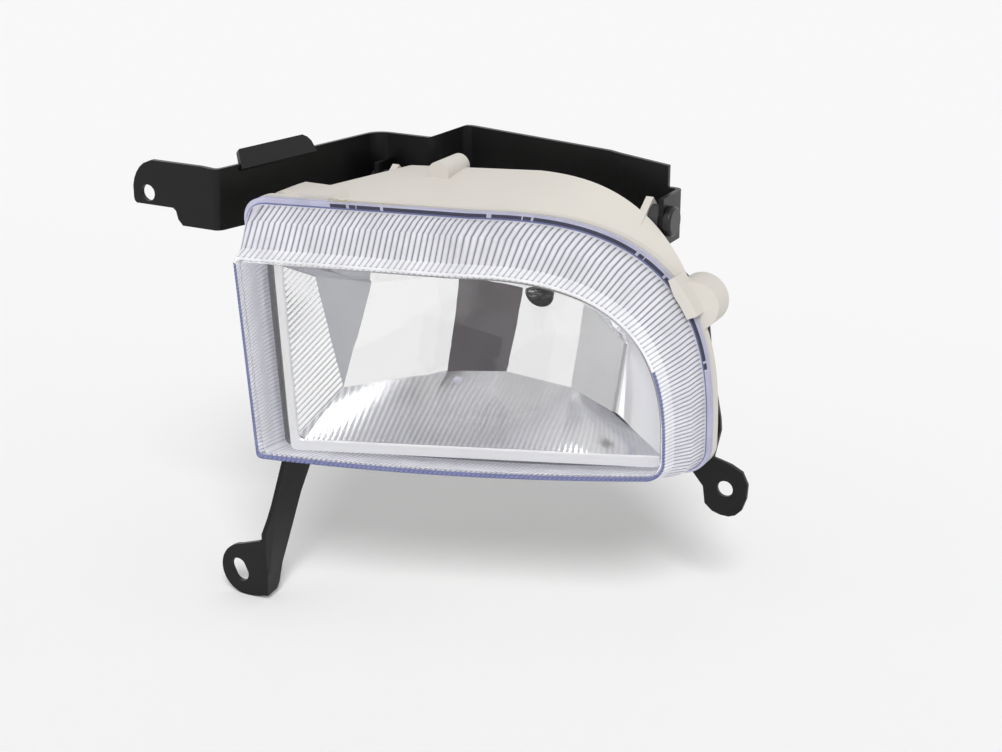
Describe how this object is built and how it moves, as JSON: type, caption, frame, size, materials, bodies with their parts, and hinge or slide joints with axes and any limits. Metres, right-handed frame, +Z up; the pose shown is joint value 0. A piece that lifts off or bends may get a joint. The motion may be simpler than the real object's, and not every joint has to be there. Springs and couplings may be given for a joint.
{
  "type": "fog light",
  "caption": "Car fog lamp: swept clear lens with a ribbed border on a moulded housing, mirror reflector and twist-lock bulb, tilting in a black steel bracket with ears.",
  "frame": {"origin": "centre of the upper ear's bolt hole, on the ear's front face", "axes": "+Z up, -Y forward out of the lens, +X outboard across the car"},
  "size_m": [0.23, 0.1163, 0.1838],
  "materials": {
    "clear_lens": "clear moulded polycarbonate with a faint blue-violet tint at its edges",
    "sealant": "cured sealant bead",
    "housing_plastic": "beige moulded plastic, fine matt grain",
    "mirror_coat": "vacuum-metallised mirror",
    "zinc_screw": "zinc plated",
    "black_steel": "semi-gloss black paint on pressed steel",
    "black_screw": "black oxide",
    "black_nylon": "black nylon",
    "bulb_metal": "bright pressed steel",
    "bulb_glass": "clear quartz",
    "bulb_plastic": "black heat-resistant plastic",
    "ring_rubber": "soft black rubber",
    "filament_wire": "drawn tungsten",
    "terminal_brass": "tinned brass blades",
    "white_nylon": "natural nylon"
  },
  "bodies": {
    "bracket": {"mounting_strap": "black_steel", "left_leg": "black_steel", "right_leg": "black_steel", "left_pivot_tab": "black_steel", "right_pivot_screw": "black_screw", "left_pivot_screw": "black_screw", "adjuster_grommet": "white_nylon"},
    "lamp": {"lens": "clear_lens", "lens_seal": "sealant", "housing": "housing_plastic", "reflector": "mirror_coat", "reflector_screws": "zinc_screw", "right_pivot_bush": "black_nylon", "left_pivot_bush": "black_nylon", "vent_cap": "ring_rubber"},
    "bulb": {"bulb_base": "bulb_plastic", "bulb_o_ring": "ring_rubber", "bulb_ferrule": "bulb_metal", "bulb_glass": "bulb_glass", "bulb_filament": "filament_wire", "filament_stems": "filament_wire", "bulb_terminals": "terminal_brass"},
    "adjuster_screw": {"adjuster_screw": "zinc_screw", "adjuster_clip": "zinc_screw"},
    "adjuster_nut": {"adjuster_nut": "white_nylon"}
  },
  "joints": [
    {"name": "lamp_tilt", "type": "hinge", "parent": "bracket", "child": "lamp", "pos_m": [0.1252, 0.072, -0.0045], "axis": [1, 0, 0], "range_deg": [-3, 3]},
    {"name": "bulb_twist", "type": "hinge", "parent": "lamp", "child": "bulb", "pos_m": [0.1412, 0.074, -0.035], "axis": [0, 1, 0], "range_deg": [0, 30]},
    {"name": "adjuster_spin", "type": "hinge", "parent": "bracket", "child": "adjuster_screw", "pos_m": [0.1907, 0.086, -0.0495], "axis": [0, 1, 0], "range_deg": [-570, 570]},
    {"name": "adjuster_travel", "type": "slide", "parent": "bracket", "child": "adjuster_nut", "axis": [0, 1, 0], "range_m": [-0.0024, 0.0024]}
  ],
  "couplings": [
    {"joint": "adjuster_spin", "follows": "lamp_tilt", "ratio": 188.5},
    {"joint": "adjuster_travel", "follows": "lamp_tilt", "m_per_rad": 0.045}
  ]
}
